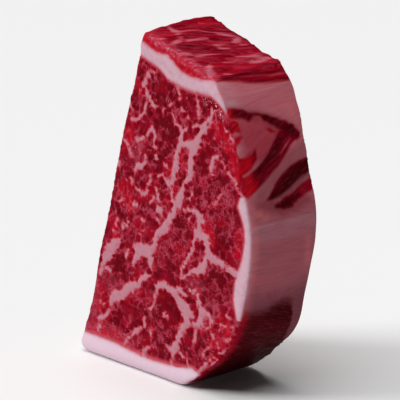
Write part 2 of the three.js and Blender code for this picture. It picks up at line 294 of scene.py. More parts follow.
BRIGHT_PARTS = [
    [(-34, 66, 2.5), (-31, 61, 2.0)], [(-25, 83, 3.0), (-21, 76, 3.0)],
    [(-20, 109, 2.5), (-23, 101, 1.5)],
    [(30, 75, 3.5), (34, 70, 1.5)], [(46, 112, 3.0), (48, 101, 2.5)], [(36, 121, 3.0), (42, 113, 2.5)],
    [(-46, 13, 4.5), (-30, 12, 3.0)], [(-44, 24, 2.0), (-40, 36, 1.0)], [(32, 24, 2.0), (39, 27, 2.5)],
    [(49, 67, 2.0), (50, 76, 2.0)], [(9, 88, 1.5), (4, 82, 1.5)],
    [(14, 104, 1.2), (15, 98, 1.2)], [(-9, 147, 3.0), (4, 141, 1.0)], [(40, 36, 2.5), (44, 31, 2.0)],
]
LACED_PARTS = [
    [(30, 98, 6.0), (35, 87, 10.0), (42, 77, 6.0)], [(12, 73, 6.0), (13, 63, 7.0)],
    [(38, 54, 8.0), (33, 44, 5.0)],
    [(3, 57, 5.0), (-3, 52, 3.0)], [(-6, 32, 5.0), (4, 22, 7.0)], [(26, 18, 5.0), (34, 26, 4.0)],
]
PALE_PARTS = [
    [(-49, 13, 5.0), (-34, 13, 4.0), (-20, 12, 2.0)], [(-47, 31, 3.5), (-47, 20, 4.0)],
    [(-27, 67, 0.0), (-21, 60, 0.0)],
    [(-12, 62, 0.0), (-9, 69, 0.0)], [(-30, 36, 3.5), (-38, 38, 3.0)], [(20, 49, 3.0), (26, 48, 2.0)],
    [(-17, 98, 2.5), (-13, 104, 2.0)],
]
# Where beads of juice gather on the front cut face, painted there as pale glints
PAINTED_GLINT_PARTS = [[(27, 131, 0.0), (30, 129.6, 0.9), (34.4, 128, 1.4), (37.5, 126, 0.8),
                (39.5, 123.5, 0.0)]]

# Streaks of fat on the cap, as (x, y, half width)
CAP_STREAKS = [
    [(-9.5, -8, 1.4), (-6, -7.5, 1.5), (-3.5, -6.3, 1.1), (-2.5, -3, 0.7), (-1.5, 0, 0.7),
     (-0.5, 3, 0.6), (0.8, 6, 0.6), (1.7, 8, 0.7), (3.5, 10, 1.1), (4.5, 12, 1.0), (6.5, 15, 0.7),
     (7.5, 18, 0.5)],
    [(-3, -7, 0.6), (-1.5, -9, 0.4)],
    [(1, -9, 0.6), (1.8, -12, 1.2), (2.8, -14, 1.2), (3.5, -16.5, 0.7)],
    [(4, -8, 0.5), (4.5, -4, 0.6), (5, -1, 0.5), (5.8, 2, 0.3)],
    [(9.5, 16.5, 0.9), (11, 14, 1.3), (12, 12, 1.0)],
    [(11.3, 1.5, 0.5), (12.5, 5, 0.6), (13.5, 8, 0.7), (14, 11, 0.6), (15, 16, 0.5)],
    [(13.5, -3, 0.4), (14, 0, 0.6), (14.2, 3, 0.6), (14.5, 6, 0.4)],
    [(10, -20, 0.9), (11.5, -17.5, 1.0), (13.5, -15.5, 0.9), (15, -14, 0.6), (15.5, -11, 0.7),
     (16, -8, 0.7), (16.8, -5, 0.7), (18, -2.5, 0.4)],
    [(20.5, -2, 0.4), (21.5, 1, 0.9), (22.3, 4, 1.1), (23.5, 7, 1.1), (24.5, 10, 1.1), (25.5, 13, 1.6),
     (26.5, 15, 1.8), (27, 18, 1.2)],
    [(24, -5, 0.4), (25, 0, 0.7), (25.8, 4, 0.7), (26.8, 8, 0.9), (28, 11, 1.2), (28.3, 14, 0.9)],
    [(33, 11, 0.4), (33.3, 15, 0.5)],
    [(22.5, -12, 0.9), (24.5, -14, 1.7), (27, -16, 2.3), (28.5, -17.5, 2.0), (30, -19, 1.0)],
    [(32, -12, 0.5), (34, -10, 0.8), (35.5, -7, 0.6)],
]

# Lean that shows on the right side, as (y, z, half width)
SIDE_LEAN = [
    # Dark arc under the upper fat
    [(-22, 126.5, 2.4), (-17, 126.3, 2.5), (-12, 125.6, 2.2), (-9.5, 124.2, 1.9), (-6, 125, 0.8),
     (-3, 124.2, 0.9), (0, 122.6, 1.7), (4, 120.6, 2.0), (8, 118.6, 2.4), (12, 116, 3.0),
     (16, 113.4, 2.4)],
    # Patches that reach in from the front edge
    [(-22, 122, 3.0), (-18.5, 121.5, 2.6), (-16.5, 119.5, 1.2)],
    [(-22, 115, 2.0), (-18.5, 116, 1.8), (-16, 117, 0.8)],
    [(-22, 105, 3.6), (-16, 105.5, 3.4), (-12, 107.5, 2.4), (-10, 110.5, 1.0)],
    # Spot inside the arc
    [(-1.4, 118.2, 0.2), (1.2, 117.2, 1.2), (3.4, 116.3, 0.2)],
    # Band that rises to the end of the arc
    [(-22, 95.8, 4.4), (-15, 97.9, 4.1), (-10, 99.8, 3.7), (-5, 102.4, 3.8), (0, 105.4, 4.2),
     (4, 109, 4.6), (8, 112.5, 4.6), (12, 113.5, 3.4), (15.5, 113, 2.2)],
    # Lobe at the back edge, in two parts
    [(-8, 89.8, 0.6), (-5, 91, 1.6), (0, 93, 3.4), (5, 95.6, 4.0), (10, 98, 4.0), (15, 99.8, 3.7),
     (22, 101, 3.4)],
    [(-4, 86.5, 1.0), (0, 86.6, 2.2), (5, 87.8, 2.6), (10, 89.8, 2.4), (15, 91.6, 2.6),
     (22, 93.2, 2.8)],
]
# Threads of fat that cross that lean and the cap's
SIDE_THREADS = [
    [(-21, 100.9, 0.5), (-16, 101.9, 0.4), (-12, 103.2, 0.0)],
    [(-1, 89.5, 0.3), (5, 91.4, 0.5), (10, 93.7, 0.5), (15, 95.9, 0.5), (22, 97.8, 0.6)],
    [(4, 106.5, -0.4), (8, 109.7, -0.1), (12, 112.7, -0.4)],
    [(-6, 139.6, -0.4), (2, 139.2, -0.2), (10, 138.6, -0.1), (19, 138.4, -0.2)],
]
# Where that lean is dark or darkest, where the fat is greyed or stained by it, and the haze below the lobe,
# a brownish stain with a painted soft shadow
SIDE_DARK = [
    [(-17, 126.8, 1.2), (-9, 124.5, 1.8), (-3, 124.2, 0.8), (1, 122, 1.8), (8, 118, 2.4),
     (12, 116.5, 2.2), (16, 113.5, 1.5)],
    [(-12, 100.5, 1.6), (-6, 104, 2.0), (0, 107.5, 2.2), (5, 113, 2.0)],
]
SIDE_DARKEST = [
    [(-7, 89.8, 1.0), (0, 92.3, 3.0), (6, 95.3, 4.0), (12, 98, 4.0), (22, 101, 3.0)],
    [(-3, 86.5, 1.6), (4, 87.5, 1.8), (10, 89.5, 1.0)],
]
SIDE_GREY = [[(-12, 92, 1.5), (-5, 96, 2.5), (2, 100, 2.5), (9, 104, 2.5), (18, 107.5, 2.5)]]
SIDE_STAIN = [
    [(-15, 120, 2.0), (-11, 115, 4.5), (-5, 116, 6.5), (1, 117, 5.0)],
    [(-14, 121.5, 2.0), (-8, 121, 3.0), (-2, 120, 3.0)],
    [(-13, 109, 2.5), (-4, 110, 3.5), (2, 114, 3.0)],
]
# The haze: a brownish stain and a painted soft shadow under the lobe
SIDE_HAZE_AND_SHADOW = [[(-14, 88, 1.0), (-8, 87.5, 2.2), (0, 85, 2.0), (8, 85.5, 1.5), (14, 87, 1.0)]]
# How dark these make the side, the haze as painted shadow: the share, the strokes, and how far inside them
# it starts and is whole
SIDE_SHADES = [
    (0.68, SIDE_DARK, -2.4, 2.0),
    (0.84, SIDE_DARKEST, -2.2, 1.6),
    (0.50, SIDE_GREY, -2.5, 1.5),
    (0.55, SIDE_HAZE_AND_SHADOW, -3.0, 1.5),
]
# Where the side's fat is warm in colour, and thin pale lines that cross it
SIDE_WARM = [
    [(-22, 92, 2.0), (-20, 80, 2.2), (-19.5, 70, 2.0), (-20, 58, 1.6), (-21.5, 50, 0.5)],
    [(-18, 88, 0.8), (-14, 85, 1.0), (-11, 83.5, 0.2)],
    [(13, 70, 0.0), (14, 60, 0.0)],
    [(-21, 138, 2.5), (-16, 137, 1.8), (-12, 136.5, 0.5)],
    [(10, 127, -0.5), (16, 124, 0.2)],
]
SIDE_LINES = [
    [(-15, 132.6, -0.3), (-4, 133.0, 0.1), (6, 133.5, 0.1), (15, 134.4, -0.3)],
    [(-21, 79.5, 0.2), (-5, 79.9, 0.0), (6, 79.8, -0.1), (17, 80.4, 0.1)],
    [(-20.5, 111, 0.8), (-18.5, 112.5, 0.0)],
]
# Where the lean at that side's foot ends and where the cap begins, as (y, z)
LEAN_FOOT = [(-24, 44.5), (-20, 44.0), (-16, 42.3), (-5, 42.0), (-1, 43.5), (3, 44.8), (7, 44.3),
             (10, 42.0), (11, 38.0), (12, 33.0), (13, 28.0), (15, 22.0), (18, 19.0), (21, 17.0)]
CAP_EDGE = [(-24, 140.0), (-17, 138.8), (-12, 138.1), (-6, 137.3), (0, 136.6), (6, 135.9), (12, 135.5),
            (20, 135.0)]
TOP_EDGE = [(-14, 155.5), (34, 140.0)]  # front edge of the top, as (x, z)

# Colours, as linear red, green and blue
LEAN_DARK = (0.135, 0.0002, 0.0055)
LEAN_RED = (0.246, 0.0010, 0.0130)
LEAN_BRIGHT = (0.470, 0.0030, 0.0150)
LEAN_VIVID = (0.580, 0.0030, 0.0120)
LEAN_PINK = (0.470, 0.0720, 0.1240)
# The next colour is aged lean and also painted shade near the right side's foot
LEAN_AGED_AND_SHADED = (0.032, 0.0002, 0.0014)
FRINGE = (0.570, 0.0820, 0.1150)
THIN_FAT = (0.510, 0.1220, 0.1700)
SEAM_FAT = (0.485, 0.2120, 0.2620)
RIM_FAT = (0.670, 0.5000, 0.5850)
WARM_FAT = (0.700, 0.1700, 0.1800)
# The next colour is a painted highlight: pale glints where beads of juice gather
PAINTED_GLINT = (0.960, 0.7800, 0.8000)
UPPER_SIDE_FAT = (0.560, 0.1450, 0.1750)
LOWER_SIDE_FAT = (0.380, 0.1050, 0.1300)
STAINED_FAT = (0.400, 0.0330, 0.0560)
# The next colour is aged fat and its dark lines, and also painted shade near the right side's foot
AGED_AND_SHADED_FAT = (0.080, 0.0200, 0.0300)


def smooth(value, low, high):
    """0 up to low, 1 from high on and smooth between; low may be the greater of the two."""
    share = np.clip((value - low) / (high - low), 0.0, 1.0)
    return share * share * (3.0 - 2.0 * share)


def along(value, line):
    """The height of a line of (place, height) points at each value."""
    places, heights = zip(*line)
    return np.interp(value, places, heights)


def inside_strokes(first, second, strokes):
    """Millimetres inside the nearest stroke, or below zero outside, for points of a plane."""
    depth = np.full(len(first), FAR_OUTSIDE)
    for stroke in strokes:
        for (a1, a2, wide_a), (b1, b2, wide_b) in zip(stroke, stroke[1:]):
            run1 = b1 - a1
            run2 = b2 - a2
            share = ((first - a1) * run1 + (second - a2) * run2) / (run1 * run1 + run2 * run2)
            share = np.clip(share, 0.0, 1.0)
            gap = np.hypot(first - a1 - share * run1, second - a2 - share * run2)
            depth = np.maximum(depth, wide_a + share * (wide_b - wide_a) - gap)
    return depth


def chance(cells, seed):
    """A fixed number between 0 and 1 for each cell of whole-number places."""
    mixed = cells[:, 0] * 73856093 ^ cells[:, 1] * 19349663 ^ cells[:, 2] * 83492791 ^ seed * 40503
    mixed = (mixed ^ (mixed >> 13)) * 1274126177
    return ((mixed ^ (mixed >> 16)) & 65535) / 65535.0


def noise(points, size, seed):
    """Smooth noise between 0 and 1 with lumps of about the given size."""
    scaled = points / size
    low = np.floor(scaled).astype(np.int64)
    share = scaled - low
    share = share * share * (3.0 - 2.0 * share)
    total = np.zeros(len(points))
    for corner in np.ndindex(2, 2, 2):
        weight = np.prod(np.where(np.array(corner) == 1, share, 1.0 - share), axis=1)
        total += weight * chance(low + np.array(corner), seed)
    return total


def lump_borders(points, size, seed):
    """Millimetres to the nearest border between lumps of about the given size."""
    scaled = points / size
    low = np.floor(scaled).astype(np.int64)
    nearest = np.full(len(points), 9.0)
    second = np.full(len(points), 9.0)
    for step in np.ndindex(3, 3, 3):
        cell = low + np.array(step) - 1
        middle = cell + np.stack([chance(cell, seed + axis) for axis in range(3)], axis=1)
        gap = np.linalg.norm(scaled - middle, axis=1)
        second = np.minimum(second, np.maximum(nearest, gap))
        nearest = np.minimum(nearest, gap)
    return 0.5 * size * (second - nearest)


def applied(piece):
    """Applies the piece's modifiers to its mesh."""
    bpy.context.view_layer.update()
    seen = piece.evaluated_get(bpy.context.evaluated_depsgraph_get())
    mesh = bpy.data.meshes.new_from_object(seen)
    piece.modifiers.clear()
    piece.data = mesh
    return piece


def fine_copy(node):
    """A copy of the solid with rounder edges and an even mesh of small quads."""
    piece = bpy.data.objects.new("steak_meat", node.data.copy())
    bpy.context.scene.collection.objects.link(piece)
    shape = bmesh.new()
    shape.from_mesh(piece.data)
    bmesh.ops.remove_doubles(shape, verts=shape.verts, dist=0.01 * MM)
    bmesh.ops.join_triangles(shape, faces=shape.faces, angle_face_threshold=0.6, angle_shape_threshold=0.9)
    shape.to_mesh(piece.data)
    shape.free()
    rounder = piece.modifiers.new("rounder", "SUBSURF")
    rounder.levels = 1
    even = piece.modifiers.new("even", "REMESH")
    even.mode = "VOXEL"
    even.voxel_size = VOXEL * MM
    even.use_smooth_shade = True
    calm = piece.modifiers.new("calm", "SMOOTH")
    calm.factor = 0.5
    calm.iterations = 4
    return applied(piece)


def read_skin(piece):
    """Places in millimetres and outward directions of the skin's vertices."""
    count = len(piece.data.vertices)
    places = np.zeros(count * 3)
    piece.data.vertices.foreach_get("co", places)
    facing = np.zeros(count * 3)
    piece.data.vertices.foreach_get("normal", facing)
    return places.reshape(-1, 3) / MM, facing.reshape(-1, 3)


def side_weights(facing):
    """How much each vertex belongs to the cut faces, the left, the right, the top and the foot."""
    raw = {
        "cut": np.abs(facing[:, 1]),
        "left": np.maximum(-facing[:, 0], 0.0),
        "right": np.maximum(facing[:, 0], 0.0),
        "top": np.maximum(facing[:, 2], 0.0),
        "foot": np.maximum(-facing[:, 2] - FOOT_FACING, 0.0) / (1.0 - FOOT_FACING),
    }
    raw = {name: weight ** SHARPNESS for name, weight in raw.items()}
    total = sum(raw.values()) + 1e-9
    return {name: weight / total for name, weight in raw.items()}


def wandered(places):
    """Where a point's fibre starts on the front cut face: fibres wander sideways as they run back."""
    reach = WANDER["reach"] * (places[:, 1] - FRONT_Y) / THICKNESS
    slow = np.stack([places[:, 0], places[:, 1] * 0.5, places[:, 2]], axis=1)
    x = places[:, 0] + reach * (noise(slow, WANDER["length"], SEED["wander_x"]) - 0.5)
    z = places[:, 2] + reach * (noise(slow, WANDER["length"], SEED["wander_z"]) - 0.5)
    return x, z


def cut_fat(x, z, real_z):
    """Millimetres inside the fat of a cut face, how clean that fat is, how plain its edges are, and
    how much the lean beside it is tinged."""
    seams = inside_strokes(x, z, FRONT_SEAMS)
    rim = along(x, RIM_TOP) - real_z
    band = np.minimum(along(x, BAND_TOP) - z, z - along(x, BAND_BOTTOM))
    cover = x - along(z, COVER_INSIDE)
    outer = np.maximum(rim, np.maximum(band, cover))
    clean = CLEAN["band"] * smooth(band, -0.5, 2.0)
    clean = np.maximum(clean, CLEAN["cover"] * smooth(cover, -0.5, 1.5))
    clean = np.maximum(clean, CLEAN["rim"] * smooth(rim, -0.6, 1.5))
    plain = smooth(outer - seams, -1.0, 1.0) * smooth(outer, -3.0, -1.0)
    tinged = TINGED["band"] * smooth(np.maximum(band, cover), -1.2, -0.2)
    tinged = np.maximum(tinged, TINGED["rim"] * smooth(rim, -2.4, -0.4))
    return np.maximum(seams, outer), clean, plain, tinged


def right_fat(y, z):
    """Millimetres inside the fat that covers the right side."""
    foot = SOFT_SLOPE * (along(y, LEAN_FOOT) - z)
    cap = z - along(y, CAP_EDGE)
    lean = np.maximum(inside_strokes(y, z, SIDE_LEAN), np.maximum(foot, cap))
    return np.maximum(-lean, inside_strokes(y, z, SIDE_THREADS))


def right_dark_and_shade(y, z):
    """How dark the right side is made: most along bands of dark lean and the haze under the lobe, which is
    partly painted shadow, and near the foot, where painted shade darkens all of its lean.
    """
    bands = np.zeros(len(y))
    for share, strokes, start, whole in SIDE_SHADES:
        bands = np.maximum(bands, share * smooth(inside_strokes(y, z, strokes), start, whole))
    # Painted shade over the low part of the side, strongest away from the front edge and lowest down
    low = smooth(z, 56.0, 42.5) * (0.10 + 0.90 * smooth(y, -20.0, -13.5))
    low *= 0.84 + 0.16 * smooth(z, 30.0, 10.0)
    return np.maximum(bands, low)


def right_vivid(y, z):
    """How vivid the right side's lean is: most where patches reach in from the front edge."""
    upper = smooth(y, -14.0, -18.5) * smooth(z, 60.0, 90.0)
    patches = smooth(y, -9.0, -15.5) * smooth(z, 90.0, 93.0) * smooth(z, 113.0, 108.0)
    lower = LOW_VIVID * smooth(y, -15.5, -20.5) * smooth(z, 8.0, 26.0)
    return np.maximum(lower, np.maximum(upper, patches))


def right_clean(y, z):
    """How clean the right side's fat is, where the front's cover of fat turns round the edge."""
    heights = smooth(z, 46.0, 52.0) * smooth(z, 94.0, 90.0)
    return CLEAN["turned"] * smooth(y, -17.5, -21.0) * heights


def right_warm(y, z):
    """How warm the colour of the right side's fat is."""
    return WARM * smooth(inside_strokes(y, z, SIDE_WARM), -4.0, 2.2)


def right_stain(y, z):
    """How much the right side's fat is stained by the lean beside it, and by the haze under the lobe, which
    is partly painted shadow.
    """
    stain = STAIN["lean"] * smooth(inside_strokes(y, z, SIDE_STAIN), -3.5, 1.5)
    return np.maximum(stain, STAIN["haze_and_shadow"] * smooth(inside_strokes(y, z, SIDE_HAZE_AND_SHADOW), -3.5, 1.5))


def right_pale(y, z):
    """How pale the right side's fat is: beside the front edge, in some lines and in a broad band."""
    edge = PALE["edge"] * smooth(y, -8.0, -20.0) * smooth(z, 122.0, 131.0)
    lines = PALE["lines"] * smooth(inside_strokes(y, z, SIDE_LINES), -1.0, 0.4)
    band = PALE["band"] * smooth(z, 70.0, 76.0) * smooth(z, 81.0, 79.0)
    return edge + lines + band


def zone(x, z, strokes):
    """How much each point of the front cut face belongs to the parts that the strokes mark."""
    return smooth(inside_strokes(x, z, strokes), -3.0, 2.0)


def shared(name, part):
    """How much of a look each vertex gets, by the side it is on."""
    share = SHARES[name]
    cut_like = part["cut"] + part["left"]
    return share["cut"] * cut_like + share["right"] * part["right"] + share["top"] * part["top"]


def layers(places, facing):
    """What the material needs to know at each vertex."""
    x, y, z = places.T
    part = side_weights(facing)
    right = part["right"]
    top = part["top"]
    cut_like = part["cut"] + part["left"]
    from_x, from_z = wandered(places)
    cut_depth, cut_clean, cut_plain, cut_tinged = cut_fat(from_x, from_z, z)
    top_depth = np.maximum(inside_strokes(x, y, CAP_STREAKS) - STREAK_TRIM, STREAK_LEAST)
    fat_mm = cut_like * cut_depth + right * right_fat(y, z) + top * top_depth
    fat_mm += part["foot"] * FOOT_FAT
    fibre = fibre_places(places, part)
    cap_end = smooth(from_z - along(from_x, BAND_TOP), -0.5, 0.8) * smooth(y, -15.5, -19.0)
    cap_bright = CAP_BRIGHT["left"] * smooth(x, 4.0, -6.0) + CAP_BRIGHT["right"] * smooth(x, 14.0, 24.0)
    ridge = part["cut"] * cap_end * smooth(along(x, TOP_EDGE) - z, 3.2, 1.2)
    ridge += top * smooth(y, -15.0, -18.5)
    fields = {
        "fat_mm": fat_mm,
        "border_mm": lump_borders(bent_places(fibre), LUMP["size"], SEED["lumps"]),
        "clean": cut_like * cut_clean + right * right_clean(y, z) + part["foot"],
        "plain": cut_like * cut_plain + right,
        "tinged": cut_like * cut_tinged,
        "soft": right * (SOFT["right"] + SOFT["right_foot"] * smooth(z, 52.0, 46.0)) + SOFT["top"] * top,
        "side": right * smooth(y, -26.0, -15.0),
        "streaky": shared("streaky", part),
        "pale": right * right_pale(y, z),
        "warm": right * right_warm(y, z),
        "vivid": right * right_vivid(y, z),
        "upper": smooth(z, 80.0, 122.0),
        "stain": right * right_stain(y, z),
        "flecked": shared("flecked", part),
        # Dark lean on the right side, with painted shade near the foot and a painted shadow under the lobe
        "dark_and_shade": right * right_dark_and_shade(y, z),
        "deep": cut_like * zone(from_x, from_z, DARK_PARTS),
        "bright": cut_like * zone(from_x, from_z, BRIGHT_PARTS) + top * cap_bright,
        "laced": cut_like * zone(from_x, from_z, LACED_PARTS),
        "milky": cut_like * zone(from_x, from_z, PALE_PARTS),
        "cap_end": (part["cut"] + top) * cap_end,
        "ridge": ridge * smooth(x, -11.0, -3.0),
        "wet": shared("wet", part),
        # Painted glints where beads of juice gather
        "painted_glint_share": part["cut"] * smooth(inside_strokes(from_x, from_z, PAINTED_GLINT_PARTS), -1.6, 0.6),
        "fibre": fibre,
    }
    return fields, part


def fibre_places(places, part):
    """Places squeezed along the fibres, so that patterns run long that way, save at the cap's cut end."""
    x, y, z = places.T
    inward = y - FRONT_Y
    rise = FIBRE_RISE * smooth(z, 78.0, 90.0) * smooth(z, 136.0, 124.0) - FIBRE_FALL * smooth(z, 54.0, 44.0)
    cut_end = part["top"] * CUT_END["squeeze"] * np.minimum(inward, CUT_END["depth"])
    sideways = x - part["top"] * FIBRE_DRIFT * inward
    lengthways = y * FIBRE_SQUEEZE + cut_end
    upward = z - part["right"] * rise * inward
    return np.stack([sideways, lengthways, upward], axis=1)


def bent_places(fibre):
    """Fibre places bent to and fro, and squeezed from side to side near the foot, where lumps are wide."""
    squeeze = LOW_SQUEEZE + (1.0 - LOW_SQUEEZE) * smooth(fibre[:, 2], 35.0, 100.0)
    sway_x = SWAY["reach"] * (noise(fibre, SWAY["length"], SEED["sway_x"]) - 0.5)
    sway_z = SWAY["reach"] * (noise(fibre, SWAY["length"], SEED["sway_z"]) - 0.5)
    return np.stack([fibre[:, 0] * squeeze + sway_x, fibre[:, 1], fibre[:, 2] + sway_z], axis=1)


def relief(places, fields, part):
    """Millimetres that the skin stands out by: lumps of lean between level seams of fat."""
    fat = smooth(fields["fat_mm"], -0.5, 0.5)
    lump = smooth(fields["border_mm"], 0.0, LUMP["edge"]) - 0.5
    swell = noise(fields["fibre"], SWELL["size"], SEED["swell"]) - 0.5
    grain = noise(fields["fibre"], FAT_GRAIN["size"], SEED["fat_grain"]) - 0.5
    on_lean = LUMP["height"] * lump + SWELL["on_lean"] * swell
    on_fat = SWELL["on_fat"] * swell + FAT_GRAIN["height"] * grain
    groove = GROOVE["depth"] * np.exp(-((fields["fat_mm"] / GROOVE["width"]) ** 2))
    height = (1.0 - fat) * on_lean + fat * on_fat - groove
    height *= 1.0 - CALM_LEFT * part["left"]
    return height * (1.0 - part["foot"]) * smooth(places[:, 2], 0.3, 2.0)


def store(mesh, name, values):
    """Keeps a number or a vector for each vertex under a name."""
    kind = "FLOAT" if values.ndim == 1 else "FLOAT_VECTOR"
    field = "value" if values.ndim == 1 else "vector"
    attribute = mesh.attributes.new(name, kind, "POINT")
    attribute.data.foreach_set(field, np.ascontiguousarray(values, dtype=np.float32).ravel())


def make_meat():
    """The whole steak as one piece."""
    piece = fine_copy(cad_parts["steak"])
    places, facing = read_skin(piece)
    fields, part = layers(places, facing)
    moved = places + facing * relief(places, fields, part)[:, None]
    moved[:, 2] = np.maximum(moved[:, 2], 0.0)
    piece.data.vertices.foreach_set("co", (moved * MM).ravel())
    piece.data.update()
    for name, values in fields.items():
        store(piece.data, name, values)
    piece.data.shade_smooth()
    return piece


class Graph:
    """Short names for the nodes that a material is built from."""

    def __init__(self, name):
        self.material = bpy.data.materials.new(name)
        self.material.use_nodes = True
        self.nodes = self.material.node_tree.nodes
        self.links = self.material.node_tree.links
        self.shader = self.nodes["Principled BSDF"]
        self.fields = {}

    def feed(self, socket, value):
        """Links a socket to the value where that is a socket too, and sets it otherwise."""
        if isinstance(value, bpy.types.NodeSocket):
            self.links.new(value, socket)
        else:
            socket.default_value = value

    def attribute(self, name, output="Fac"):
        """A field that is stored on the mesh."""
        if name not in self.fields:
            node = self.nodes.new("ShaderNodeAttribute")
            node.attribute_name = name
            self.fields[name] = node.outputs[output]
        return self.fields[name]

    def math(self, operation, a, b=0.0, c=0.0):
        node = self.nodes.new("ShaderNodeMath")
        node.operation = operation
        for socket, value in zip(node.inputs, (a, b, c)):
            self.feed(socket, value)
        return node.outputs[0]

    def product(self, first, *others):
        for value in others:
            first = self.math("MULTIPLY", first, value)
        return first

    def largest(self, first, *others):
        for value in others:
            first = self.math("MAXIMUM", first, value)
        return first

    def step(self, value, low, high, to_low=0.0, to_high=1.0):
        node = self.nodes.new("ShaderNodeMapRange")
        node.interpolation_type = "SMOOTHSTEP"
        for socket, number in zip(node.inputs, (value, low, high, to_low, to_high)):
            self.feed(socket, number)
        return node.outputs[0]

    def mix(self, share, a, b):
        """Colour a with a share of colour b. Sockets 6 and 7 are the node's colours, and 2 its result."""
        node = self.nodes.new("ShaderNodeMix")
        node.data_type = "RGBA"
        self.feed(node.inputs["Factor"], share)
        for socket, colour in zip((node.inputs[6], node.inputs[7]), (a, b)):
            self.feed(socket, (*colour, 1.0) if isinstance(colour, tuple) else colour)
        return node.outputs[2]

    def vector(self, operation, a, b):
        node = self.nodes.new("ShaderNodeVectorMath")
        node.operation = operation
        self.feed(node.inputs[0], a)
        self.feed(node.inputs["Scale"] if operation == "SCALE" else node.inputs[1], b)
        return node.outputs[0]

    def noise(self, place, size, detail=2.0, roughness=0.5, output="Fac"):
        node = self.nodes.new("ShaderNodeTexNoise")
        self.feed(node.inputs["Vector"], place)
        node.inputs["Scale"].default_value = 1.0 / size
        node.inputs["Detail"].default_value = detail
        node.inputs["Roughness"].default_value = roughness
        return node.outputs[output]

    def cells(self, place, size):
        """Millimetres to the nearest border between lumps of about the given size."""
        node = self.nodes.new("ShaderNodeTexVoronoi")
        node.feature = "DISTANCE_TO_EDGE"
        self.feed(node.inputs["Vector"], place)
        node.inputs["Scale"].default_value = 1.0 / size
        return self.math("MULTIPLY", node.outputs["Distance"], size)

    def bumps(self, height, strength, distance_mm):
        node = self.nodes.new("ShaderNodeBump")
        node.inputs["Strength"].default_value = strength
        node.inputs["Distance"].default_value = distance_mm * MM
        self.feed(node.inputs["Height"], height)
        return node.outputs["Normal"]


def bent_fibres(g):
    """Fibre places bent to and fro, for patterns that wander."""
    fibre = g.attribute("fibre", "Vector")
    sway = g.vector("SUBTRACT", g.noise(fibre, PATTERN["sway"], 2.0, 0.5, "Color"), (0.5, 0.5, 0.5))
    return g.vector("ADD", fibre, g.vector("SCALE", sway, BEND_REACH))


def fat_edges(g, bent):
    """Millimetres inside the fat, with its edges scalloped by the lumps of lean beside them."""
    bite = g.product(g.math("SUBTRACT", BITE["balance"], g.attribute("border_mm")), BITE["strength"])
    ragged = g.product(g.math("SUBTRACT", g.noise(bent, PATTERN["ragged"], 3.0, 0.65), 0.5), RAGGED_REACH)
    calm = g.step(g.attribute("plain"), 0.0, 1.0, 1.0, 0.3)
    return g.math("ADD", g.attribute("fat_mm"), g.product(g.math("ADD", bite, ragged), calm))


def fat_share(g, edge):
    """How much of the colour is fat: it comes in over a wider stretch where edges are soft."""
    soft = g.attribute("soft")
    start = g.math("MULTIPLY_ADD", soft, -0.9, -0.4)
    whole = g.math("MULTIPLY_ADD", soft, 0.5, g.step(g.attribute("plain"), 0.0, 1.0, 0.85, 0.40))
    return g.step(edge, start, whole)


def lean_red(g, bent, grit):
    """How bright the lean's red is, between 0 and 1 and mostly near a half."""
    red = g.math("MULTIPLY_ADD", grit, 0.30, g.noise(bent, PATTERN["red"], 3.0, 0.6))
    red = g.math("SUBTRACT", red, g.step(g.attribute("border_mm"), 0.2, 1.2, -0.06, 0.06))
    red = g.math("MULTIPLY_ADD", g.attribute("deep"), -0.10, red)
    return g.math("MULTIPLY_ADD", g.largest(g.attribute("bright"), g.attribute("milky")), 0.05, red)


def flecks(g, bent):
    """Small upright flecks of fat, which gather in patches."""
    fleck = g.noise(g.vector("MULTIPLY", bent, FLECK_SQUEEZE), PATTERN["fleck"], 3.0, 0.6)
    patch = g.noise(g.attribute("fibre", "Vector"), PATTERN["fleck_patch"], 2.0, 0.5)
    return g.product(g.step(fleck, 0.585, 0.705), g.step(patch, 0.35, 0.60, 0.2, 1.0))


def pink_parts(g, bent, grit, fleck):
    """Pink between the seams: borders of the lumps, a lace round the finest, flecks and soft flecks."""
    fibre = g.attribute("fibre", "Vector")
    rough_mm = g.math("MULTIPLY_ADD", grit, 0.9, g.attribute("border_mm"))
    branch = g.step(g.noise(fibre, PATTERN["branch"], 2.0, 0.5), 0.42, 0.60)
    border = g.product(g.step(rough_mm, 0.05, 0.38, 0.62, 0.0), branch)
    lace_mm = g.math("MULTIPLY_ADD", grit, 0.5, g.cells(bent, PATTERN["lace"]))
    lace_gap = g.step(g.noise(fibre, PATTERN["lace_gap"], 2.0, 0.5), 0.40, 0.58, 0.25, 1.0)
    lace = g.product(g.step(lace_mm, 0.02, 0.32, 0.66, 0.0), g.attribute("laced"), lace_gap)
    soft_fleck = g.step(g.noise(bent, PATTERN["soft_fleck"], 3.0, 0.6), 0.50, 0.68, 0.0, 0.65)
    return g.largest(border, lace, fleck, g.product(soft_fleck, g.attribute("milky")))


def cap_end_colour(g, bent, lean):
    """The lean's colour, brighter at the cap's cut end and with pale grains on the ridge above it."""
    ridge = g.attribute("ridge")
    lump = g.noise(bent, PATTERN["ridge"], 2.0, 0.6)
    lean = g.mix(g.product(g.attribute("cap_end"), 0.7), lean, LEAN_BRIGHT)
    lean = g.mix(g.product(ridge, g.step(lump, 0.40, 0.58, 0.15, 0.75)), lean, LEAN_PINK)
    return g.mix(g.product(ridge, g.step(lump, 0.56, 0.68, 0.0, 0.8)), lean, SEAM_FAT)


